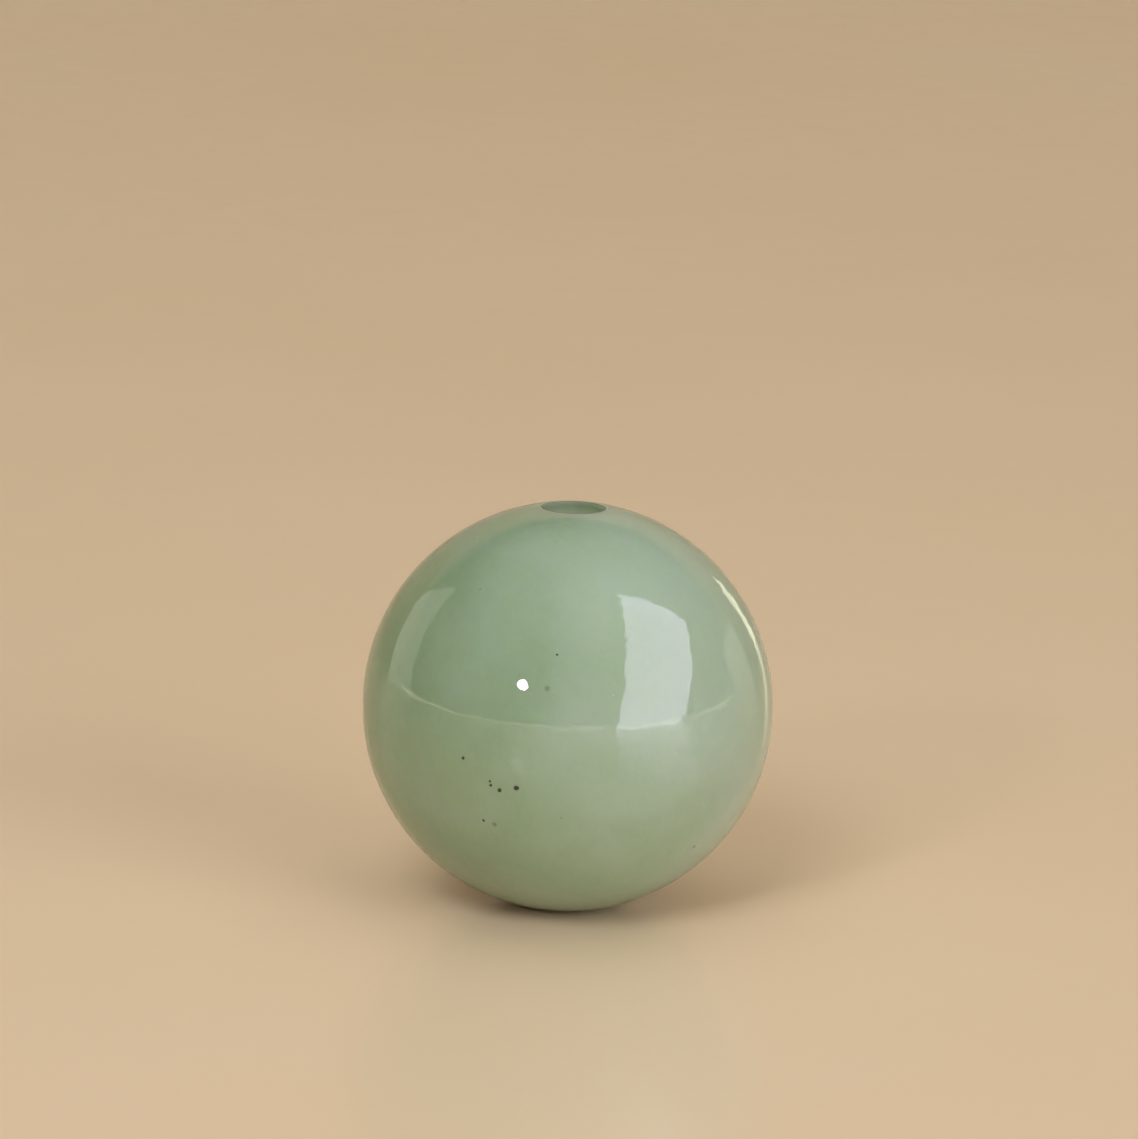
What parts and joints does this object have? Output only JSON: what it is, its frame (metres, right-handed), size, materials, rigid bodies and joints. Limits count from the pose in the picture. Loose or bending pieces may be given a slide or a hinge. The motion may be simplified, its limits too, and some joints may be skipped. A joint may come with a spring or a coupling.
{
  "type": "drilled stone bead",
  "caption": "Round polished pale green stone bead with a straight bore from pole to pole, narrow flat lands at its mouths and small dark mineral grains in the stone.",
  "frame": {"origin": "centre of the ball, on the axis of the bore", "axes": "+Z along the bore, -Z towards the land it stands on; -Y is the side on which most of the dark grains show"},
  "size_m": [0.02, 0.02, 0.0198],
  "materials": {
    "green_stone": "polished",
    "dark_mineral": "satin"
  },
  "bodies": {
    "root": {"stone_bead": "green_stone", "dark_grain_1": "dark_mineral", "dark_grain_2": "dark_mineral", "dark_grain_3": "dark_mineral", "dark_grain_4": "dark_mineral", "dark_grain_5": "dark_mineral", "dark_grain_6": "dark_mineral", "dark_grain_7": "dark_mineral", "dark_grain_8": "dark_mineral", "dark_grain_9": "dark_mineral", "dark_grain_10": "dark_mineral"}
  },
  "joints": []
}
